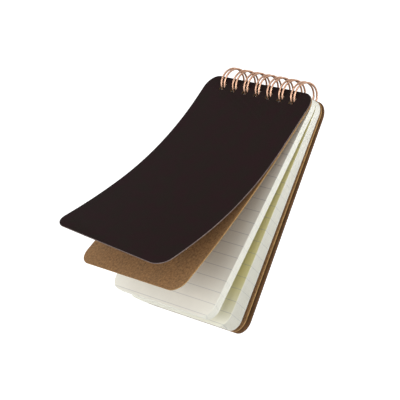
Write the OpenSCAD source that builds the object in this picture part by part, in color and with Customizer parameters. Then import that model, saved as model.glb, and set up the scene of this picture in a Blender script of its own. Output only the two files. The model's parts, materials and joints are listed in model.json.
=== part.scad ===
// Pocket notebook, bound along its top edge by seven twin wire loops.
// X runs along the spine, -Y points from the spine to the free edge, and Z is up.
// Every sheet turns about the centre line of the loops.

/* [Cover] */
// Width of both covers and both kraft boards, along the spine
cover_w = 76; // [74:0.5:90]
// Length of both covers and both kraft boards, from spine edge to free edge
cover_l = 108; // [95:1:140]
// Radius of the corners of the covers and boards
cover_r = 7; // [4:0.5:9]
// Thickness of each cover
cover_t = 0.5; // [0.4:0.05:0.6]
// Thickness of each kraft board
board_t = 0.42; // [0.3:0.02:0.42]

/* [Leaves] */
// Margin by which a leaf is narrower than the cover, on each side
leaf_margin = 0.75; // [0.5:0.25:2]
// Margin by which a leaf is shorter than the cover, at the free edge
leaf_short = 0.4; // [0.2:0.1:2]
// Radius of a leaf's corners
leaf_r = 6; // [4:0.5:8]
// Thickness of one leaf
leaf_t = 0.1; // [0.08:0.01:0.11]
// Height that each leaf takes up in the closed pile
leaf_pitch = 0.12; // [0.12:0.005:0.125]

/* [Binding] */
// Distance between neighbouring loops (three to the inch)
loop_pitch = 8.4667; // [8.4667]
// Number of loops
loop_count = 7; // [5:2:7]
// Radius of a loop, to the middle of the wire
loop_r = 6.35; // [6.35:0.05:6.5]
// Radius of the wire
wire_r = 0.45; // [0.4:0.01:0.45]
// Distance between the two wires of one loop, middle to middle
wire_gap = 2.34; // [2:0.02:2.4]
// Side of each square hole
hole = 3.7; // [3.6:0.05:4]

/* [Pose at rest] */
// Angle of the front cover at the spine
cover_open = 15.2; // [15.1:0.1:20]
// Angle of the front kraft divider at the spine
divider_open = 15; // [11:0.1:15.1]
// Angle of the top leaf
upper_top_open = 6.6; // [6.1:0.1:10]
// Angle of the lowest leaf in the lifted upper half
upper_low_open = 6; // [3:0.1:6.5]
// Angle of the highest leaf in the lower half
lower_top_open = 2.2; // [1:0.1:4]
// Angle by which the back board hangs below the leaves
board_sag = 0.8; // [0:0.05:0.9]
// Depth by which the free end of the back cover is pressed flat where it rests
back_foot = 0.05; // [0.04:0.01:0.1]

/* [Curl] */
// Skew of the front cover's curl, which lifts its left corner more
curl_skew = 11.8; // [0:0.1:12]
// Flat length of the front cover before it curls
curl_start = 20; // [18:0.5:24]
// Radius of the first, tighter stretch of the curl
curl_r1 = 138; // [110:1:200]
// Turn of the first stretch
curl_a1 = 23; // [10:0.5:24]
// Radius of the second, wider stretch of the curl
curl_r2 = 264; // [180:2:400]
// Flat length of the divider before it bows
bow_start = 31; // [26:1:40]
// Radius of the divider's bow
bow_r = 505; // [450:5:3000]

/* [Hidden] */
LOWER_COUNT = 24;
UPPER_COUNT = 20;
LEAF_COUNT = LOWER_COUNT + UPPER_COUNT;
LEAVES = [for (i = [1:LEAF_COUNT]) str("leaf_", i < 10 ? "0" : "", i)];

DARK = [0.17, 0.13, 0.125];
KRAFT = [0.53, 0.4, 0.26];
CREAM = [0.93, 0.92, 0.85];
COPPER = [0.78, 0.56, 0.44];

// spine edges of the sheets, measured from the loops' centre line towards the free edge
edge_in = 0.3;
leaf_edge_in = 0.6;
hole_in = 3.5;

// levels of the sheets' lower faces in the closed stack, measured from the loops' centre line
back_level = -3.6 - cover_t;
seam_level = -3.02;
board_level = -2.03 - board_t;
leaf_level = -1.97;
divider_level = 3.38;
front_level = 3.85;

// the loops and the free end of the back cover rest on z = 0
axis_z = loop_r + wire_r;
back_sag = asin((axis_z + back_level) / (edge_in + cover_l));
reach = (edge_in + cover_l) * cos(back_sag) + back_level * sin(back_sag);
axis_y = (reach - axis_z) / 2;

// the seam of the wire, where the noses meet the links
seam_angle = asin(seam_level / loop_r);
link_bend_r = 0.8;
seam_gap = 1.15;
nose_r = wire_gap / 2;
leg_top = seam_angle + link_bend_r / loop_r * 180 / PI;
leg_low = seam_angle - (seam_gap + nose_r) / loop_r * 180 / PI;
tail = 1.1;
bead_r = wire_r + 0.008;

$fn = 96;

// projected length of a sheet that is flat up to b[0], then bends at radius b[1] by b[2], then at radius b[3]
function deg(x) = x * 180 / PI;
function second(b) = b[0] + b[1] * b[2] * PI / 180;
function run(u, b) =
    u < b[0] ? u :
    u < second(b) ? b[0] + b[1] * sin(deg((u - b[0]) / b[1])) :
    b[0] + b[1] * sin(b[2]) + b[3] * (sin(b[2] + deg((u - second(b)) / b[3])) - sin(b[2]));

// where a point of the flat sheet lands in plan once the sheet is bent across a line skewed by k
function bent(p, k, b) =
    let (u = -p[0] * sin(k) + p[1] * cos(k),
         v = p[0] * cos(k) + p[1] * sin(k))
    [v * cos(k) - run(u, b) * sin(k), -run(u, b) * cos(k) - v * sin(k)];

// one rounded corner, and one straight side as points
function corner(x, y, r, from) = [for (i = [0:8]) [x + r * cos(from - i * 11.25), y + r * sin(from - i * 11.25)]];
function side(p, q, n) = [for (i = [1:n - 1]) p + (q - p) * i / n];

// the outline of a flat sheet, with x along the spine and y down the sheet from its spine edge
function outline(w, l, r) =
    let (x = w / 2 - r)
    concat(
        corner(-x, r, r, 270), side([-w / 2, r], [-w / 2, l - r], 12),
        corner(-x, l - r, r, 180), corner(x, l - r, r, 90),
        side([w / 2, l - r], [w / 2, r], 12), corner(x, r, r, 0));

// puts a sheet at its level in the stack and opens it about the loops' centre line
module placed(level, angle) {
    translate([0, axis_y, axis_z])
        rotate([-angle, 0, 0])
            translate([0, 0, level])
                children();
}

module rounded_plate(w, l, r, t) {
    translate([-w / 2, r - l, 0])
        cube([w, l - 2 * r, t]);
    translate([r - w / 2, -l, 0])
        cube([w - 2 * r, l, t]);
    for (x = [r - w / 2, w / 2 - r], y = [-r, r - l])
        translate([x, y, 0])
            cylinder(r = r, h = t);
}

module hole_row(t) {
    for (i = [0:loop_count - 1])
        translate([loop_x(i) - hole / 2, -hole_in - hole, -1])
            cube([hole, hole, t + 2]);
}

function loop_x(i) = (i - (loop_count - 1) / 2) * loop_pitch;

module flat_sheet(w, l, r, t, edge) {
    difference() {
        translate([0, -edge, 0])
            rounded_plate(w, l, r, t);
        hole_row(t);
    }
}

// a strip bent upwards across the sheet; children continue from its end
module bend(r, a, w, t) {
    translate([0, 0, r])
        rotate([180, 90, 0])
            rotate_extrude(angle = a, $fn = 180)
                translate([r - t, -w / 2])
                    square([t, w]);
    translate([0, 0, r])
        rotate([-a, 0, 0])
            translate([0, 0, -r])
                children();
}

module straight(l, w, t) {
    translate([-w / 2, -l, 0])
        cube([w, l, t]);
    translate([0, -l, 0])
        children();
}

// a sheet with a flat spine end and a bent free end
module bent_sheet(w, l, r, t, k, b, end_turn) {
    stock = w + l;
    lead = 30;
    difference() {
        translate([0, -edge_in, 0])
            intersection() {
                rotate([0, 0, -k])
                    translate([0, lead, 0])
                        straight(lead + b[0], stock, t)
                            bend(b[1], b[2], stock, t)
                                bend(b[3], end_turn, stock, t);
                translate([0, 0, -1])
                    linear_extrude(l)
                        polygon([for (p = outline(w, l, r)) bent(p, k, b)]);
            }
        hole_row(t);
    }
}

module back_cover() {
    color(DARK)
        intersection() {
            placed(back_level, -back_sag - back_foot / (edge_in + cover_l) * 180 / PI)
                flat_sheet(cover_w, cover_l, cover_r, cover_t, edge_in);
            translate([-cover_w, -cover_l, 0])
                cube([2 * cover_w, 2 * cover_l, 20]);
        }
}

module back_board() {
    color(KRAFT)
        placed(board_level, -board_sag)
            flat_sheet(cover_w, cover_l, cover_r, board_t, edge_in);
}

module front_divider() {
    color(KRAFT)
        placed(divider_level, divider_open)
            bent_sheet(cover_w, cover_l, cover_r, board_t, 0, [bow_start, bow_r, 5, bow_r], 6);
}

module front_cover() {
    color(DARK)
        placed(front_level, cover_open)
            bent_sheet(cover_w, cover_l, cover_r, cover_t, curl_skew,
                       [curl_start, curl_r1, curl_a1, curl_r2], 22);
}

// angle of leaf i, counted from the top leaf: each half is fanned a little
function leaf_angle(i) =
    i < UPPER_COUNT
    ? upper_top_open + (upper_low_open - upper_top_open) * i / (UPPER_COUNT - 1)
    : lower_top_open * (LEAF_COUNT - 1 - i) / (LOWER_COUNT - 1);

module leaf(i) {
    color(CREAM)
        placed(leaf_level + (LEAF_COUNT - 1 - i) * leaf_pitch, leaf_angle(i))
            flat_sheet(cover_w - 2 * leaf_margin, cover_l - leaf_short, leaf_r, leaf_t, leaf_edge_in);
}

// places children on the loop at angle a, with +Y along the wire towards larger angles and +X along the spine
module on_loop(a) {
    rotate([-a, 0, 0])
        translate([0, -loop_r, 0])
            rotate([90, 0, 0])
                children();
}

// a bead a hair thicker than the wire, which joins two pieces of it into one solid
module bead() {
    sphere(r = bead_r, $fn = 32);
}

// a piece of ring of radius r and turn a, in the XY plane about the origin, with a bead on its start
module ring(r, a) {
    rotate_extrude(angle = a)
        translate([r, 0])
            circle(r = wire_r, $fn = 32);
    translate([r, 0, 0])
        bead();
}

// one wire leg, from below the seam round the back of the loop to above it
module leg(x) {
    translate([x, 0, 0])
        rotate([0, -90, 0])
            rotate([0, 0, leg_top - 90])
                ring(loop_r, leg_low + 360 - leg_top);
}

// the turned nose that closes the two legs of a loop below the seam
module nose(x) {
    translate([x, 0, 0])
        on_loop(leg_low) {
            ring(nose_r, 180);
            translate([-nose_r, 0, 0])
                bead();
        }
}

// the bend that leads a leg into a link; s is the side to which it turns
module link_bend(x, s) {
    translate([x, 0, 0])
        on_loop(leg_top)
            translate([s * link_bend_r, 0, 0])
                rotate([0, 0, s > 0 ? 180 : 270])
                    ring(link_bend_r, 90);
}

module link(x, l) {
    translate([x, 0, 0])
        on_loop(leg_top)
            translate([0, -link_bend_r, 0])
                rotate([0, 90, 0]) {
                    cylinder(r = wire_r, h = l, $fn = 32);
                    bead();
                    translate([0, 0, l])
                        bead();
                }
}

module twin_loop_wire() {
    last = loop_count - 1;
    half = wire_gap / 2;
    color(COPPER)
        translate([0, axis_y, axis_z]) {
            for (i = [0:last]) {
                leg(loop_x(i) - half);
                leg(loop_x(i) + half);
                nose(loop_x(i));
                link_bend(loop_x(i) - half, -1);
                link_bend(loop_x(i) + half, 1);
            }
            for (i = [0:last - 1])
                link(loop_x(i) + half + link_bend_r, loop_pitch - wire_gap - 2 * link_bend_r);
            link(loop_x(0) - half - link_bend_r - tail, tail);
            link(loop_x(last) + half + link_bend_r, tail);
        }
}

back_cover();
twin_loop_wire();
back_board();
for (i = [0:LEAF_COUNT - 1])
    leaf(i);
front_divider();
front_cover();
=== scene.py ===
"""A pocket notebook bound along its top edge by seven twin wire loops.

It has dark card covers, kraft boards and cream ruled leaves.
"""

import json
import math
import random

import bpy
from bpy.props import FloatProperty, FloatVectorProperty, IntProperty, PointerProperty
from mathutils import Matrix, Vector


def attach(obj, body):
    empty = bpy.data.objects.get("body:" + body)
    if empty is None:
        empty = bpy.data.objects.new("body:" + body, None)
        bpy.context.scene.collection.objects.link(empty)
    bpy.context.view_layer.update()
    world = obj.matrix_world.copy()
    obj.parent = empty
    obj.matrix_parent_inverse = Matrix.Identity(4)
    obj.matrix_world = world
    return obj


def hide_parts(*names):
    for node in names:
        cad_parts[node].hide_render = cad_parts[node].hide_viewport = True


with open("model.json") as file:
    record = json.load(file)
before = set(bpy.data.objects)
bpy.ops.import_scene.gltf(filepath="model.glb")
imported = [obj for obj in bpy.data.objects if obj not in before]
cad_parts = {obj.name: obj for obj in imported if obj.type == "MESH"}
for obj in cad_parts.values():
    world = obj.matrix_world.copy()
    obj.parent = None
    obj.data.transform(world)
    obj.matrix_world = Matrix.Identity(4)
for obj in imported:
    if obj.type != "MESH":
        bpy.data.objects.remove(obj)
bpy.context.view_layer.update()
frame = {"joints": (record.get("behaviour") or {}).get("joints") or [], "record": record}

bl_info = {
    "name": "Pocket notebook",
    "version": (1, 0, 0),
    "blender": (4, 5, 0),
    "location": "3D View > Sidebar > Notebook",
    "description": "Builds a small twin-loop notebook around its packed CAD frame",
    "category": "Object",
}

MM = 0.001
LOOPS_AT = Vector(next(j for j in frame["joints"] if j["name"] == "front_cover_turn")["pos_m"])
LOWER_COUNT = len(frame["record"]["behaviour"]["bodies"]["lower_leaves"])
UPPER_COUNT = len(frame["record"]["behaviour"]["bodies"]["upper_leaves"])
LEAF_COUNT = LOWER_COUNT + UPPER_COUNT

# the studio: camera, glow of the floor, light from the horizon and from above,
# and lamps with their place, width and power
EYE_AT = (0.84149, -0.08828, 0.67243)
EYE_TURN = (27.9654, 46.281, 30.819)
LENS = 216.507
FLOOR_GLOW = 1.0
HORIZON, ZENITH = 0.42, 1.02
LAMPS = (
    ("key_light", (-0.5, -0.35, 0.75), 0.6, 3.0),
    ("side_light", (0.95, 0.05, 0.14), 0.3, 3.6),
)

# rounding of the cut edges, and first and last rows of faces down the sheets
CARD_RIM, KRAFT_RIM = 0.07 * MM, 0.05 * MM
FIRST_ROW, LAST_ROW, LAST_SKEWED_ROW = 10 * MM, 106 * MM, 112 * MM

# how unevenly the leaves lie: slip along and across the spine, turn in degrees, and
# how far the printing shifts from one leaf to the next
SLIP_ALONG, SLIP_DOWN, YAW = (-0.035, 0.035), (-0.03, 0.01), (-0.02, 0.02)
PRINT_SHIFT = -0.065 * MM

# painted shade of the gap, yellowed by light thrown between the two leaves that face each other in it
GAP_SHADE_TINT = (0.78, 0.73, 0.40)

# where the walls of the punched holes lie on a flat sheet, in millimetres
PUNCHED_DOWN, PUNCHED_SIDE = (1.5, 9.0), 31.0

# level of the wire's seam below the centre line, and the gap left in it
SEAM_LEVEL, SEAM_GAP = -3.02 * MM, 1.15 * MM


# ---------------------------------------------------------------- sizes and colours


def size(name, mm, about):
    """A length property whose default is given in millimetres."""
    return FloatProperty(name=name, description=about, default=mm * MM, unit="LENGTH", precision=5)


def turn(name, degrees, about):
    """An angle property whose default is given in degrees."""
    return FloatProperty(
        name=name, description=about, default=math.radians(degrees), subtype="ANGLE", unit="ROTATION")


def colour(name, rgb, about):
    """A colour property, in linear values."""
    return FloatVectorProperty(
        name=name, description=about, default=rgb, subtype="COLOR", size=3, min=0, max=1)


class NotebookSizes(bpy.types.PropertyGroup):
    """Sizes of the sheets and of the wire."""

    cover_w: size("Cover width", 76, "Width of covers and boards along the spine")
    cover_l: size("Cover length", 108, "Length of covers and boards from the spine to the free edge")
    cover_r: size("Cover corner", 7, "Radius of the corners of covers and boards")
    cover_t: size("Cover thickness", 0.5, "Thickness of the front and back cover")
    board_t: size("Board thickness", 0.42, "Thickness of the kraft divider and the back board")
    leaf_margin: size("Leaf margin", 0.75, "How much narrower a leaf is than the cover, on each side")
    leaf_short: size("Leaf shortfall", 0.4, "How much shorter a leaf is than the cover")
    leaf_r: size("Leaf corner", 6, "Radius of a leaf's corners")
    leaf_t: size("Leaf thickness", 0.1, "Thickness of one leaf")
    leaf_pitch: size("Leaf pitch", 0.12, "Height that each leaf takes up in the pile")
    edge_in: size("Spine edge", 0.3, "Distance from the loops' centre line to the covers' spine edge")
    leaf_edge_in: size("Leaf spine edge", 0.6, "Distance from the loops' centre line to a leaf's spine edge")
    hole_in: size("Hole inset", 3.5, "Distance from the loops' centre line to the near side of the holes")
    hole: size("Hole side", 3.7, "Side of each square hole")
    hole_round: size("Hole corner", 0.45, "Radius of a hole's corners")
    loop_pitch: size("Loop pitch", 8.4667, "Distance between neighbouring loops")
    loop_r: size("Loop radius", 6.35, "Radius of a loop to the middle of the wire")
    wire_r: size("Wire radius", 0.45, "Radius of the wire")
    wire_gap: size("Wire gap", 2.34, "Distance between the two wires of a loop")
    link_bend: size("Link bend", 0.8, "Radius of the bend between a loop and a link")
    rule_pitch: size("Rule pitch", 5.6, "Distance between the printed rules")
    loop_count: IntProperty(name="Loops", description="Number of twin loops", default=7, min=1)


class NotebookLevels(bpy.types.PropertyGroup):
    """Levels of the sheets' lower faces from the loops' centre line, and their angles at rest."""

    back: size("Back cover", -4.1, "Level of the back cover's lower face")
    board: size("Back board", -2.45, "Level of the back board's lower face")
    leaf: size("Lowest leaf", -1.97, "Level of the lowest leaf's lower face")
    divider: size("Divider", 3.38, "Level of the divider's lower face")
    front: size("Front cover", 3.85, "Level of the front cover's lower face")
    back_angle: turn("Back cover angle", -1.4286, "Turn of the back cover about the loops")
    board_angle: turn("Back board angle", -0.8, "Turn of the back board about the loops")
    upper_top: turn("Top leaf angle", 6.6, "Turn of the top leaf")
    upper_low: turn("Upper half angle", 6, "Turn of the lowest leaf of the upper half")
    lower_top: turn("Lower half angle", 2.2, "Turn of the top leaf of the lower half")
    divider_angle: turn("Divider angle", 15, "Turn of the divider at the spine")
    front_angle: turn("Front cover angle", 15.2, "Turn of the front cover at the spine")
    curl_skew: turn("Curl skew", 11.8, "Skew of the front cover's curl")
    curl_start: size("Curl start", 20, "Flat length of the front cover before it curls")
    curl_r1: size("Curl radius", 138, "Radius of the first stretch of the curl")
    curl_a1: turn("Curl turn", 23, "Turn of the first stretch of the curl")
    curl_r2: size("Outer curl radius", 264, "Radius of the second stretch of the curl")
    bow_start: size("Bow start", 31, "Flat length of the divider before it bows")
    bow_r: size("Bow radius", 505, "Radius of the divider's bow")


class NotebookColours(bpy.types.PropertyGroup):
    """Base colours of the finishes."""

    card: colour("Cover card", (0.0165, 0.0088, 0.0092), "Espresso face of the covers")
    card_edge: colour("Card edge", (0.22, 0.165, 0.15), "Cut edge of the cover card")
    card_inside: colour("Card inside", (0.2, 0.105, 0.045), "Unprinted inner face of the covers")
    kraft: colour("Kraft", (0.25, 0.137, 0.058), "Kraft board")
    kraft_edge: colour("Kraft edge", (0.45, 0.27, 0.10), "Cut edge of the kraft board")
    paper: colour("Paper", (0.84, 0.83, 0.745), "Cream writing paper")
    rule: colour("Rules", (0.46, 0.47, 0.47), "Printed rules")
    back_edge: colour("Back cover edge", (0.17, 0.08, 0.04), "Cut edge of the back cover card")
    paper_edge: colour("Leaf edge", (0.9, 0.9, 0.82), "Cut edges of the leaves")
    copper: colour("Wire", (0.74, 0.46, 0.32), "Copper-coated wire")
    floor: colour("Floor", (0.9, 0.9, 0.9), "Studio floor")


# ---------------------------------------------------------------- shader sums


class Value:
    """A socket of a material, on which ordinary sums add Math nodes."""

    def __init__(self, board, socket):
        self.board, self.socket = board, socket

    def _sum(self, kind, *terms):
        return self.board.node("ShaderNodeMath", {"operation": kind}, *terms)

    def __add__(self, other):
        return self._sum("ADD", self, other)

    def __radd__(self, other):
        return self._sum("ADD", other, self)

    def __sub__(self, other):
        return self._sum("SUBTRACT", self, other)

    def __rsub__(self, other):
        return self._sum("SUBTRACT", other, self)

    def __mul__(self, other):
        return self._sum("MULTIPLY", self, other)

    def __rmul__(self, other):
        return self._sum("MULTIPLY", other, self)

    def __truediv__(self, other):
        return self._sum("DIVIDE", self, other)

    def __gt__(self, other):
        return self._sum("GREATER_THAN", self, other)

    def __lt__(self, other):
        return self._sum("LESS_THAN", self, other)

    def low(self, other):
        return self._sum("MINIMUM", self, other)

    def fract(self):
        return self._sum("FRACT", self)

    def absolute(self):
        return self._sum("ABSOLUTE", self)

    def ramp(self, a, b):
        """0 below a and 1 above b, smooth in between."""
        return self.board.node(
            "ShaderNodeMapRange", {"interpolation_type": "SMOOTHSTEP"}, self, a, b, 0.0, 1.0)


class Finish:
    """A material and the nodes that make it."""

    def __init__(self, name):
        self.material = bpy.data.materials.new(name)
        self.material.use_nodes = True
        self.tree = self.material.node_tree
        self.shader = next(n for n in self.tree.nodes if n.type == "BSDF_PRINCIPLED")

    def node(self, kind, settings, *inputs, out=0, **named):
        """Adds a node with its settings, then its inputs by order or name, and returns an output."""
        made = self.tree.nodes.new(kind)
        for key, value in settings.items():
            setattr(made, key, value)
        for key, value in [*enumerate(inputs), *named.items()]:
            if value is None:
                continue
            socket = made.inputs[key.replace("_", " ") if isinstance(key, str) else key]
            self.feed(socket, value)
        return Value(self, made.outputs[out])

    def feed(self, socket, value):
        if isinstance(value, Value):
            self.tree.links.new(value.socket, socket)
        elif socket.type == "RGBA":
            socket.default_value = (*tuple(value)[:3], 1.0)
        else:
            socket.default_value = value

    def blend(self, mask, a, b):
        """Colour a where mask is 0 and b where it is 1."""
        made = self.tree.nodes.new("ShaderNodeMix")
        made.data_type = "RGBA"
        self.feed(made.inputs[0], mask)
        self.feed(made.inputs[6], a)
        self.feed(made.inputs[7], b)
        return Value(self, made.outputs[2])

    def place(self):
        """The piece's own coordinates in millimetres."""
        at = self.node("ShaderNodeTexCoord", {}, out="Object")
        return self.node("ShaderNodeVectorMath", {"operation": "SCALE"}, at, Scale=1000.0)

    def flat(self):
        """Where a point was on the flat sheet, in millimetres: x along the spine, y down the sheet."""
        at = self.node("ShaderNodeUVMap", {"uv_map": "Flat"})
        return self.node("ShaderNodeVectorMath", {"operation": "SCALE"}, at, Scale=100.0)

    def along(self, vector, axis):
        return self.node("ShaderNodeSeparateXYZ", {}, vector, out=axis)

    def stretched(self, vector, scale, turned=0.0):
        return self.node("ShaderNodeMapping", {"vector_type": "TEXTURE"}, vector, None, (0, 0, turned), scale)

    def noise(self, vector, scale, detail=3.0, rough=0.55):
        return self.node(
            "ShaderNodeTexNoise", {}, vector, Scale=scale, Detail=detail, Roughness=rough)

    def cells(self, vector, scale):
        return self.node("ShaderNodeTexVoronoi", {}, vector, Scale=scale)

    def punched(self, vector):
        """1 on the walls of the punched holes and 0 on the outer edges; it places the painted shade in the
        holes.
        """
        down, side = self.along(vector, 1), self.along(vector, 0).absolute()
        near, far = PUNCHED_DOWN
        return (down < far) * (down > near) * (side < PUNCHED_SIDE)

    def bump(self, height, strength, distance):
        return self.node("ShaderNodeBump", {}, Strength=strength, Distance=distance, Height=height)

    def done(self, **sockets):
        """Feeds the shader's sockets and returns the material."""
        for key, value in sockets.items():
            self.feed(self.shader.inputs[key.replace("_", " ")], value)
        return self.material


def shaded(rgb, factor):
    """A colour made lighter or darker."""
    return tuple(min(1.0, c * factor) for c in rgb)


def tinted(rgb, by):
    """A colour with each channel scaled on its own."""
    return tuple(min(1.0, c * f) for c, f in zip(rgb, by))


# ---------------------------------------------------------------- finishes


def card_face(colours):
    """Matte espresso card: fine pressed grain, faint mottling and a few paler fibres."""
    f = Finish("Cover card")
    at = f.flat()
    base = tuple(colours.card)
    mottle = f.noise(at, 0.12, 5.0, 0.65).ramp(0.36, 0.64)
    fine = f.noise(at, 1.6, 3.0, 0.7)
    grain = f.noise(at, 5.0, 2.0, 0.6)
    tone = f.blend(mottle, tinted(base, (0.93, 1.22, 0.98)), tinted(base, (1.12, 0.98, 1.04)))
    tone = f.blend(fine.ramp(0.35, 0.75) * 0.35, tone, shaded(base, 1.7))
    fibre = f.noise(f.stretched(at, (0.25, 3.0, 1.0), 0.6), 2.2, 2.0, 0.5).ramp(0.66, 0.74)
    tone = f.blend(fibre * 0.25, tone, shaded(base, 3.0))
    rough = 0.66 + fine * 0.12
    height = fine * 0.5 + grain * 0.5
    return f.done(
        Base_Color=tone, Roughness=rough, Normal=f.bump(height, 0.18, 0.00006), Specular_IOR_Level=0.04)


def card_rim(edge, name="Card cut edge"):
    """The cut edge of the cover card, where its core shows."""
    f = Finish(name)
    at = f.flat()
    wear = f.noise(at, 0.9, 4.0, 0.65)
    speck = f.noise(at, 4.0, 2.0, 0.6).ramp(0.45, 0.65)
    tone = f.blend(wear.ramp(0.3, 0.7), shaded(edge, 0.5), shaded(edge, 0.95))
    tone = f.blend(speck * 0.35, tone, shaded(edge, 0.4))
    # painted shade on the walls of the punched holes
    tone = f.blend(f.punched(at) * 0.9, tone, shaded(edge, 0.12))
    return f.done(Base_Color=tone, Roughness=0.85, Normal=f.bump(wear, 0.3, 0.0001), Specular_IOR_Level=0.3)


def card_back(colours):
    """The unprinted inner face of the cover card."""
    f = Finish("Card inner face")
    at = f.flat()
    cloud = f.noise(at, 0.12, 4.0, 0.6)
    fibre = f.noise(f.stretched(at, (0.3, 2.2, 1.0), -0.4), 1.6, 3.0, 0.6)
    tone = f.blend(cloud.ramp(0.3, 0.7), shaded(colours.card_inside, 0.8), shaded(colours.card_inside, 1.25))
    tone = f.blend(fibre.ramp(0.5, 0.75) * 0.4, tone, shaded(colours.card_inside, 1.9))
    return f.done(Base_Color=tone, Roughness=0.85, Normal=f.bump(fibre, 0.25, 0.0001), Specular_IOR_Level=0.3)


def kraft_face(colours):
    """Kraft board: cloudy brown pulp with darker specks and pale fibres lying every way."""
    f = Finish("Kraft board")
    at = f.flat()
    base = tuple(colours.kraft)
    cloud = f.noise(at, 0.14, 3.0, 0.6).ramp(0.28, 0.72)
    pulp = f.noise(at, 0.75, 4.0, 0.65)
    fine = f.noise(at, 3.2, 3.0, 0.6)
    tone = f.blend(cloud, tinted(base, (1.07, 1.04, 1.0)), tinted(base, (0.92, 0.94, 0.97)))
    tone = f.blend(pulp.ramp(0.42, 0.7) * 0.5, tone, shaded(base, 1.4))
    grit = f.noise(at, 0.9, 4.0, 0.75)
    tone = f.blend(grit.ramp(0.5, 0.68) * 0.7, tone, tinted(base, (1.85, 1.8, 1.7)))
    tone = f.blend(grit.ramp(0.5, 0.34) * 0.7, tone, tinted(base, (0.42, 0.4, 0.38)))
    for number, (lean, scale) in enumerate(((0.3, 1.3), (-0.9, 1.7), (1.5, 1.1))):
        thread = f.noise(f.stretched(at, (0.22, 3.4, 1.0), lean), scale + 0.13 * number, 2.0, 0.5)
        tone = f.blend(thread.ramp(0.63, 0.72) * 0.45, tone, shaded(base, 1.9 if number % 2 else 0.5))
    speck = f.cells(at, 0.9).ramp(0.14, 0.05) * f.noise(at, 0.5, 1.0, 0.5).ramp(0.5, 0.6)
    tone = f.blend(speck * 0.6, tone, shaded(base, 0.4))
    height = pulp * 0.6 + fine * 0.4
    rough = 0.82 + fine * 0.1
    return f.done(
        Base_Color=tone, Roughness=rough, Normal=f.bump(height, 0.35, 0.0001), Specular_IOR_Level=0.3)


def kraft_rim(colours):
    """The cut edge of kraft board: pressed layers, paler than its face."""
    f = Finish("Kraft cut edge")
    at = f.flat()
    wear = f.noise(at, 0.8, 4.0, 0.65)
    layers = f.noise(f.stretched(f.place(), (4.0, 4.0, 0.05)), 0.6, 2.0, 0.5)
    tone = f.blend(wear.ramp(0.3, 0.7), shaded(colours.kraft_edge, 0.7), shaded(colours.kraft_edge, 1.1))
    tone = f.blend(layers.ramp(0.5, 0.7) * 0.35, tone, shaded(colours.kraft_edge, 0.45))
    # painted shade on the walls of the punched holes
    tone = f.blend(f.punched(at) * 0.8, tone, shaded(colours.kraft, 0.25))
    return f.done(Base_Color=tone, Roughness=0.88, Normal=f.bump(layers, 0.3, 0.0001), Specular_IOR_Level=0.3)


def ruled_paper(sizes, colours, name="Leaf paper", gap_shade=0.0):
    """Cream wove paper with thin grey rules across it, and, on the two leaves in the gap, painted shade of
    the gap.
    """
    f = Finish(name)
    at = f.flat()
    pitch = sizes.rule_pitch / MM
    base = tuple(colours.paper)
    cloud = f.noise(at, 0.1, 3.0, 0.6)
    fibre = f.noise(at, 2.4, 3.0, 0.65)
    tone = f.blend(cloud.ramp(0.3, 0.7), shaded(base, 0.975), shaded(base, 1.02))
    tone = f.blend(fibre.ramp(0.4, 0.8) * 0.25, tone, shaded(base, 0.9))
    down = f.along(at, 1)
    if gap_shade:
        # painted shade of the gap, yellowish: stronger towards the +x end of the spine, fading out near the
        # free edge
        inside = f.along(at, 0).ramp(-8.0, 26.0) * (1.0 - down.ramp(80.0, 107.0) * 0.9)
        tone = f.blend(inside * gap_shade, tone, GAP_SHADE_TINT)
    step = ((down / pitch + 0.5).fract() - 0.5).absolute() * pitch
    rule = 1.0 - step.ramp(0.09, 0.2)
    inked = rule * (down > 12.0) * (0.75 + fibre * 0.5)
    tone = f.blend(inked.low(1.0) * 0.6, tone, tuple(colours.rule))
    return f.done(
        Base_Color=tone, Roughness=0.86, Normal=f.bump(fibre, 0.12, 0.00004), Specular_IOR_Level=0.3)


def leaf_rim(colours):
    """Cut edges of the leaves: clean pale paper with a faint grain."""
    f = Finish("Leaf cut edge")
    at = f.flat()
    grain = f.noise(at, 0.7, 3.0, 0.6)
    tone = f.blend(grain.ramp(0.3, 0.7), shaded(colours.paper_edge, 0.96), colours.paper_edge)
    # painted shade, brown like the kraft, on the walls of the punched holes
    tone = f.blend(f.punched(at) * 0.85, tone, shaded(colours.kraft, 0.3))
    return f.done(Base_Color=tone, Roughness=0.9, Normal=f.bump(grain, 0.1, 0.00004), Specular_IOR_Level=0.2)


def copper_wire(colours):
    """Copper-coated steel wire, satin, with fine drawing marks and slightly dulled patches."""
    f = Finish("Copper wire")
    at = f.place()
    dull = f.noise(at, 0.35, 3.0, 0.6).ramp(0.35, 0.75)
    marks = f.noise(at, 6.0, 3.0, 0.7)
    base = tuple(colours.copper)
    tone = f.blend(dull * 0.6, base, tinted(base, (0.75, 0.66, 0.6)))
    tone = f.blend(marks.ramp(0.5, 0.8) * 0.3, tone, shaded(base, 1.2))
    rough = 0.30 + dull * 0.14 + marks * 0.05
    return f.done(Base_Color=tone, Roughness=rough, Metallic=1.0, Normal=f.bump(marks, 0.08, 0.00003))


# ---------------------------------------------------------------- modelling by hand


def clear():
    """Leaves edit mode with nothing selected."""
    if bpy.context.mode != "OBJECT":
        bpy.ops.object.mode_set(mode="OBJECT")
    bpy.ops.object.select_all(action="DESELECT")


def work_on(piece):
    """Makes a piece the only one selected, and active."""
    clear()
    piece.select_set(True)
    bpy.context.view_layer.objects.active = piece


def edit(piece, choose="SELECT", kind="VERT"):
    """Opens a piece in edit mode with everything or nothing selected."""
    work_on(piece)
    bpy.ops.object.mode_set(mode="EDIT")
    bpy.ops.mesh.select_mode(type=kind)
    bpy.ops.mesh.select_all(action=choose)


def settle(piece, name):
    """Puts the piece's place, turn and scale into its mesh and names it."""
    work_on(piece)
    bpy.ops.object.transform_apply(location=True, rotation=True, scale=True)
    piece.name = piece.data.name = name
    return piece


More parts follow.
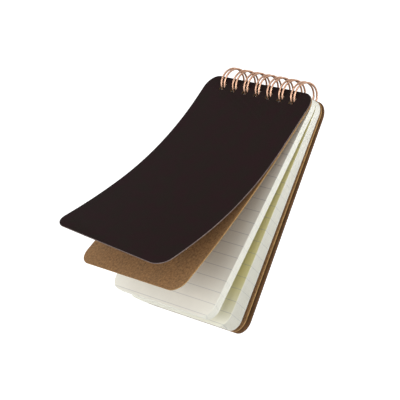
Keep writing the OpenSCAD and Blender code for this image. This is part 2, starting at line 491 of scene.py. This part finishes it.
def finish_modifier(piece, kind, **settings):
    """Adds a modifier with its settings and applies it."""
    work_on(piece)
    added = piece.modifiers.new(kind.title(), kind)
    for key, value in settings.items():
        setattr(added, key, value)
    bpy.ops.object.modifier_apply(modifier=added.name)


def tidy_mesh(piece):
    """Joins doubled points and turns the faces outwards."""
    edit(piece)
    bpy.ops.mesh.remove_doubles(threshold=2e-6)
    bpy.ops.mesh.normals_make_consistent(inside=False)
    bpy.ops.object.mode_set(mode="OBJECT")


def punch_row(sizes, depth):
    """Seven square punches with rounded corners, over the holes of a sheet that lies flat."""
    clear()
    middle = -(sizes.hole_in + sizes.hole / 2)
    first = -(sizes.loop_count - 1) / 2 * sizes.loop_pitch
    bpy.ops.mesh.primitive_cube_add(
        size=1, location=(first, middle, 0), scale=(sizes.hole, sizes.hole, depth))
    punch = settle(bpy.context.object, "punch")
    edit(punch, "DESELECT", "EDGE")
    bpy.ops.object.mode_set(mode="OBJECT")
    for e in punch.data.edges:
        a, b = (punch.data.vertices[v].co for v in e.vertices)
        e.select = abs(a.z - b.z) > depth / 2
    bpy.ops.object.mode_set(mode="EDIT")
    bpy.ops.mesh.bevel(offset=sizes.hole_round, segments=3, profile=0.5, affect="EDGES")
    bpy.ops.object.mode_set(mode="OBJECT")
    finish_modifier(punch, "ARRAY", count=sizes.loop_count, use_relative_offset=False,
                    use_constant_offset=True, constant_offset_displace=(sizes.loop_pitch, 0, 0))
    return punch


def flat_sheet(name, sizes, width, length, radius, thick, edge, rim, rows, skew=0.0):
    """A flat punched sheet with round corners, its lower face at height 0 and its spine edge by the loops."""
    clear()
    bpy.ops.mesh.primitive_plane_add(size=1, location=(0, -edge - length / 2, 0))
    sheet = bpy.context.object
    sheet.scale = (width, length, 1)
    settle(sheet, name)
    edit(sheet)
    bpy.ops.mesh.bevel(offset=radius, segments=12, profile=0.5, affect="VERTICES")
    bpy.ops.mesh.select_all(action="SELECT")
    bpy.ops.mesh.extrude_region_move(TRANSFORM_OT_translate={"value": (0, 0, thick)})
    tidy_mesh(sheet)
    punch = punch_row(sizes, 4 * MM)
    finish_modifier(sheet, "BOOLEAN", operation="DIFFERENCE", solver="EXACT", object=punch)
    bpy.data.objects.remove(punch)
    tidy_mesh(sheet)
    if rim:
        edit(sheet, "DESELECT", "EDGE")
        bpy.ops.mesh.edges_select_sharp(sharpness=math.radians(60))
        bpy.ops.mesh.bevel(offset=rim, segments=2, profile=0.6, affect="EDGES", clamp_overlap=True)
        bpy.ops.object.mode_set(mode="OBJECT")
    edit(sheet)
    lean = Vector((-math.sin(skew), -math.cos(skew), 0))
    for distance in rows:
        bpy.ops.mesh.select_all(action="SELECT")
        bpy.ops.mesh.bisect(plane_co=lean * distance - Vector((0, edge, 0)), plane_no=lean)
    bpy.ops.object.mode_set(mode="OBJECT")
    return sheet


def lay_flat_map(sheet, edge, slide=0.0):
    """A UV map that holds each point's place on the flat sheet, in tenths of a metre."""
    mesh = sheet.data
    layer = mesh.uv_layers.new(name="Flat")
    for corner in mesh.loops:
        x, y, _ = mesh.vertices[corner.vertex_index].co
        layer.data[corner.index].uv = (10 * x, 10 * (-y - edge + slide))


def paint(sheet, top, rim, under):
    """Upper face, cut edge and lower face each get their own finish."""
    mesh = sheet.data
    for finish in (top, rim, under):
        mesh.materials.append(finish)
    for face in mesh.polygons:
        face.material_index = 0 if face.normal.z > 0.3 else 2 if face.normal.z < -0.3 else 1


def two_bends(u, start, r1, a1, r2):
    """Where a point u along the flat sheet lands after two bends: along, up and its slope."""
    second = start + r1 * a1
    if u < start:
        return u, 0.0, 0.0
    if u < second:
        a = (u - start) / r1
        return start + r1 * math.sin(a), r1 * (1 - math.cos(a)), a
    a = a1 + (u - second) / r2
    return (start + r1 * math.sin(a1) + r2 * (math.sin(a) - math.sin(a1)),
            r1 * (1 - math.cos(a1)) + r2 * (math.cos(a1) - math.cos(a)), a)


def curl(sheet, edge, skew, start, r1, a1, r2):
    """Rolls the free end of a flat sheet upwards across a skewed line."""
    s, c = math.sin(skew), math.cos(skew)
    for point in sheet.data.vertices:
        x, down, up = point.co.x, -point.co.y - edge, point.co.z
        u, v = -x * s + down * c, x * c + down * s
        along, rise, a = two_bends(u, start, r1, a1, r2)
        along, rise = along - up * math.sin(a), rise + up * math.cos(a)
        point.co = (v * c - along * s, -edge - along * c - v * s, rise)


def open_out(sheet, level, angle, slip=(0.0, 0.0), yaw=0.0):
    """Puts a sheet at its level in the pile and turns it about the loops' centre line."""
    sheet.data.transform(
        Matrix.Translation(LOOPS_AT)
        @ Matrix.Rotation(-angle, 4, "X")
        @ Matrix.Translation((slip[0], slip[1], level))
        @ Matrix.Rotation(yaw, 4, "Z"))
    sheet.data.update()


def hand_over(piece, body, slot, *nodes, smooth=30):
    """Smooths a finished piece, ties it to its body and hides the nodes it stands for."""
    work_on(piece)
    bpy.ops.object.shade_smooth_by_angle(angle=math.radians(smooth))
    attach(piece, body)
    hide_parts(*nodes)


def steps(start, stop, count):
    """Evenly spaced values from start to stop, both included."""
    return [start + (stop - start) * i / count for i in range(count + 1)]


def groups(context):
    """The sizes, the levels and the colours."""
    scene = context.scene
    return scene.notebook_sizes, scene.notebook_levels, scene.notebook_colours


# ---------------------------------------------------------------- operators


class BuildBackCover(bpy.types.Operator):
    """Make the back cover, dark outside and brown inside"""

    bl_idname = "notebook.back_cover"
    bl_label = "Back cover"

    def execute(self, context):
        s, lv, c = groups(context)
        sheet = flat_sheet("back_cover_card", s, s.cover_w, s.cover_l, s.cover_r, s.cover_t, s.edge_in,
                           CARD_RIM, [])
        lay_flat_map(sheet, s.edge_in)
        paint(sheet, card_back(c), card_rim(c.back_edge, "Back cover cut edge"), card_face(c))
        open_out(sheet, lv.back, lv.back_angle)
        hand_over(sheet, "back", "cover_card", "back_cover")
        return {"FINISHED"}


class BuildBackBoard(bpy.types.Operator):
    """Make the kraft board behind the leaves"""

    bl_idname = "notebook.back_board"
    bl_label = "Back board"

    def execute(self, context):
        s, lv, c = groups(context)
        sheet = flat_sheet("back_board_kraft", s, s.cover_w, s.cover_l, s.cover_r, s.board_t, s.edge_in,
                           KRAFT_RIM, [])
        lay_flat_map(sheet, s.edge_in)
        face = kraft_face(c)
        paint(sheet, face, kraft_rim(c), face)
        open_out(sheet, lv.board, lv.board_angle)
        hand_over(sheet, "back_board", "kraft", "back_board")
        return {"FINISHED"}


class BuildLeaves(bpy.types.Operator):
    """Model one ruled leaf and lay its copies in the two halves of the pile"""

    bl_idname = "notebook.leaves"
    bl_label = "Leaves"

    def execute(self, context):
        s, lv, c = groups(context)
        width, length = s.cover_w - 2 * s.leaf_margin, s.cover_l - s.leaf_short
        pattern = flat_sheet("leaf_pattern", s, width, length, s.leaf_r, s.leaf_t, s.leaf_edge_in,
                             0, steps(FIRST_ROW, LAST_ROW, 12))
        paper = ruled_paper(s, c)
        # paper with painted shade of the gap, for the two leaves that face each other across it
        gap_shaded_paper = ruled_paper(s, c, "Leaf paper with painted gap shade", 1.0)
        rim = leaf_rim(c)
        draw = random.Random(7)
        for i in range(LEAF_COUNT):
            upper = i < UPPER_COUNT
            leaf = bpy.data.objects.new(f"sheet_{i + 1:02d}", pattern.data.copy())
            context.scene.collection.objects.link(leaf)
            leaf.data.name = leaf.name
            lay_flat_map(leaf, s.leaf_edge_in, slide=PRINT_SHIFT * (i if upper else i - UPPER_COUNT))
            # the two leaves facing each other across the gap get painted shade on the faces turned to it
            paint(leaf, paper if i != UPPER_COUNT else gap_shaded_paper, rim, paper if i != UPPER_COUNT - 1 else gap_shaded_paper)
            slip = (draw.uniform(*SLIP_ALONG) * MM, draw.uniform(*SLIP_DOWN) * MM)
            yaw = math.radians(draw.uniform(*YAW))
            if upper:
                angle = lv.upper_top + (lv.upper_low - lv.upper_top) * i / (UPPER_COUNT - 1)
            else:
                angle = lv.lower_top * (LEAF_COUNT - 1 - i) / (LOWER_COUNT - 1)
            open_out(leaf, lv.leaf + (LEAF_COUNT - 1 - i) * s.leaf_pitch, angle, slip, yaw)
            hand_over(leaf, "upper_leaves" if upper else "lower_leaves", "leaf_paper", f"leaf_{i + 1:02d}")
        bpy.data.objects.remove(pattern)
        return {"FINISHED"}


class BuildDivider(bpy.types.Operator):
    """Make the kraft divider between the front cover and the leaves"""

    bl_idname = "notebook.divider"
    bl_label = "Front divider"

    def execute(self, context):
        s, lv, c = groups(context)
        sheet = flat_sheet("front_divider_kraft", s, s.cover_w, s.cover_l, s.cover_r, s.board_t, s.edge_in,
                           KRAFT_RIM, steps(lv.bow_start, LAST_ROW, 24))
        lay_flat_map(sheet, s.edge_in)
        face = kraft_face(c)
        paint(sheet, face, kraft_rim(c), face)
        curl(sheet, s.edge_in, 0, lv.bow_start, lv.bow_r, math.radians(5), lv.bow_r)
        open_out(sheet, lv.divider, lv.divider_angle)
        hand_over(sheet, "divider", "kraft", "front_divider")
        return {"FINISHED"}


class BuildFrontCover(bpy.types.Operator):
    """Make the curled front cover"""

    bl_idname = "notebook.front_cover"
    bl_label = "Front cover"

    def execute(self, context):
        s, lv, c = groups(context)
        sheet = flat_sheet("front_cover_card", s, s.cover_w, s.cover_l, s.cover_r, s.cover_t, s.edge_in,
                           CARD_RIM, steps(lv.curl_start, LAST_SKEWED_ROW, 40), lv.curl_skew)
        lay_flat_map(sheet, s.edge_in)
        paint(sheet, card_face(c), card_rim(c.card_edge), card_back(c))
        curl(sheet, s.edge_in, lv.curl_skew, lv.curl_start, lv.curl_r1, lv.curl_a1, lv.curl_r2)
        open_out(sheet, lv.front, lv.front_angle)
        hand_over(sheet, "cover", "cover_card", "front_cover")
        return {"FINISHED"}


class BuildWire(bpy.types.Operator):
    """Bend one twin loop with its links and repeat it along the spine"""

    bl_idname = "notebook.wire"
    bl_label = "Twin-loop wire"

    def execute(self, context):
        s, _, c = groups(context)
        seam = math.asin(SEAM_LEVEL / s.loop_r)
        half = s.wire_gap / 2
        top = seam + s.link_bend / s.loop_r
        low = seam - (SEAM_GAP + half) / s.loop_r + math.tau
        first = -(s.loop_count - 1) / 2 * s.loop_pitch

        def on_loop(x, a):
            return Vector((x, -s.loop_r * math.cos(a), s.loop_r * math.sin(a)))

        def outward(a):
            return Vector((0, -math.cos(a), math.sin(a)))

        away = Vector((0, math.sin(top), math.cos(top)))
        start = on_loop(first - half - s.link_bend, top) - s.link_bend * away
        clear()
        bpy.ops.mesh.primitive_circle_add(
            vertices=16, radius=s.wire_r, location=start, rotation=(0, math.pi / 2, 0))
        wire = settle(bpy.context.object, "twin_loop_copper")
        edit(wire)
        spin = bpy.ops.mesh.spin
        spin(steps=6, angle=-math.pi / 2, center=on_loop(first - half - s.link_bend, top), axis=outward(top))
        spin(steps=80, angle=low - top, center=(first - half, 0, 0), axis=(1, 0, 0))
        spin(steps=12, angle=math.pi, center=on_loop(first, low), axis=outward(low))
        spin(steps=80, angle=top - low, center=(first + half, 0, 0), axis=(1, 0, 0))
        spin(steps=6, angle=-math.pi / 2, center=on_loop(first + half + s.link_bend, top), axis=outward(top))
        bpy.ops.mesh.extrude_region_move(
            TRANSFORM_OT_translate={"value": (s.loop_pitch - s.wire_gap - 2 * s.link_bend, 0, 0)})
        bpy.ops.object.mode_set(mode="OBJECT")
        finish_modifier(wire, "ARRAY", count=s.loop_count, use_relative_offset=False,
                        use_constant_offset=True, constant_offset_displace=(s.loop_pitch, 0, 0),
                        use_merge_vertices=True, merge_threshold=1e-5)
        edit(wire, "SELECT", "EDGE")
        bpy.ops.mesh.remove_doubles(threshold=5e-6)
        bpy.ops.mesh.select_all(action="DESELECT")
        bpy.ops.mesh.select_non_manifold(extend=False)
        bpy.ops.mesh.edge_face_add()
        bpy.ops.mesh.select_all(action="SELECT")
        bpy.ops.mesh.normals_make_consistent(inside=False)
        bpy.ops.object.mode_set(mode="OBJECT")
        wire.data.transform(Matrix.Translation(LOOPS_AT))
        wire.data.materials.append(copper_wire(c))
        hand_over(wire, "binding", "wire", "twin_loop_wire", smooth=40)
        return {"FINISHED"}


class BuildStage(bpy.types.Operator):
    """Set the camera, the pale floor and the soft studio lights"""

    bl_idname = "notebook.stage"
    bl_label = "Studio"

    def execute(self, context):
        _, _, c = groups(context)
        scene = context.scene
        eye = bpy.data.cameras.new("camera")
        eye.lens, eye.sensor_width, eye.clip_start, eye.clip_end = LENS, 36.0, 0.01, 20.0
        camera = bpy.data.objects.new("camera", eye)
        camera.location = EYE_AT
        camera.rotation_euler = [math.radians(a) for a in EYE_TURN]
        scene.collection.objects.link(camera)
        scene.camera = camera

        self.lay_floor("studio_floor", tuple(c.floor), seen=True)
        self.lay_floor("studio_bounce", (0.82, 0.82, 0.82), seen=False)

        world = bpy.data.worlds.new("studio_air")
        world.use_nodes = True
        tree = world.node_tree
        at = tree.nodes.new("ShaderNodeTexCoord")
        height = tree.nodes.new("ShaderNodeSeparateXYZ")
        tent = tree.nodes.new("ShaderNodeMapRange")
        tent.interpolation_type = "SMOOTHSTEP"
        for place, value in ((1, 0.0), (2, 0.9), (3, HORIZON), (4, ZENITH)):
            tent.inputs[place].default_value = value
        tree.links.new(at.outputs["Generated"], height.inputs[0])
        tree.links.new(height.outputs[2], tent.inputs[0])
        tree.links.new(tent.outputs[0], tree.nodes["Background"].inputs[1])
        tree.nodes["Background"].inputs[0].default_value = (1, 1, 1, 1)
        scene.world = world
        scene.view_settings.view_transform = "Standard"

        for name, place, span, power in LAMPS:
            light = bpy.data.lights.new(name, "AREA")
            light.shape, light.size, light.energy = "DISK", span, power
            lamp = bpy.data.objects.new(name, light)
            lamp.location = place
            lamp.rotation_euler = (Vector((0, 0, 0.01)) - Vector(place)).to_track_quat("-Z", "Y").to_euler()
            scene.collection.objects.link(lamp)
        return {"FINISHED"}

    def lay_floor(self, name, shade, seen):
        """A pale floor: the seen one glows softly, its unseen twin takes shadows and throws light back."""
        clear()
        bpy.ops.mesh.primitive_plane_add(size=6, location=(0, 0, -0.0002 if seen else -0.0001))
        floor = bpy.context.object
        floor.name = name
        f = Finish(name.replace("_", " ").capitalize())
        cloud = f.noise(f.place(), 0.004, 2.0, 0.5)
        f.done(Base_Color=f.blend(cloud, shaded(shade, 0.99), shade), Roughness=0.7, Specular_IOR_Level=0.1)
        if seen:
            f.done(Emission_Color=(1.0, 1.0, 1.0), Emission_Strength=FLOOR_GLOW)
            floor.visible_diffuse = floor.visible_glossy = floor.visible_shadow = False
        else:
            floor.visible_camera = False
        floor.data.materials.append(f.material)


class NotebookPanel(bpy.types.Panel):
    """Buttons that build each piece of the notebook"""

    bl_idname = "VIEW3D_PT_notebook"
    bl_label = "Pocket notebook"
    bl_space_type = "VIEW_3D"
    bl_region_type = "UI"
    bl_category = "Notebook"

    def draw(self, context):
        for maker in OPERATORS:
            self.layout.operator(maker.bl_idname)
        for group in groups(context):
            column = self.layout.column()
            for key in group.bl_rna.properties.keys():
                if key not in {"rna_type", "name"}:
                    column.prop(group, key)


OPERATORS = (
    BuildStage, BuildBackCover, BuildBackBoard, BuildLeaves, BuildDivider, BuildFrontCover, BuildWire)
CLASSES = (NotebookSizes, NotebookLevels, NotebookColours, *OPERATORS, NotebookPanel)


def register():
    for kind in CLASSES:
        bpy.utils.register_class(kind)
    bpy.types.Scene.notebook_sizes = PointerProperty(type=NotebookSizes)
    bpy.types.Scene.notebook_levels = PointerProperty(type=NotebookLevels)
    bpy.types.Scene.notebook_colours = PointerProperty(type=NotebookColours)


def unregister():
    del bpy.types.Scene.notebook_sizes
    del bpy.types.Scene.notebook_levels
    del bpy.types.Scene.notebook_colours
    for kind in reversed(CLASSES):
        bpy.utils.unregister_class(kind)


def main():
    register()
    for maker in OPERATORS:
        group, verb = maker.bl_idname.split(".")
        getattr(getattr(bpy.ops, group), verb)()
    clear()


if __name__ == "__main__":
    main()
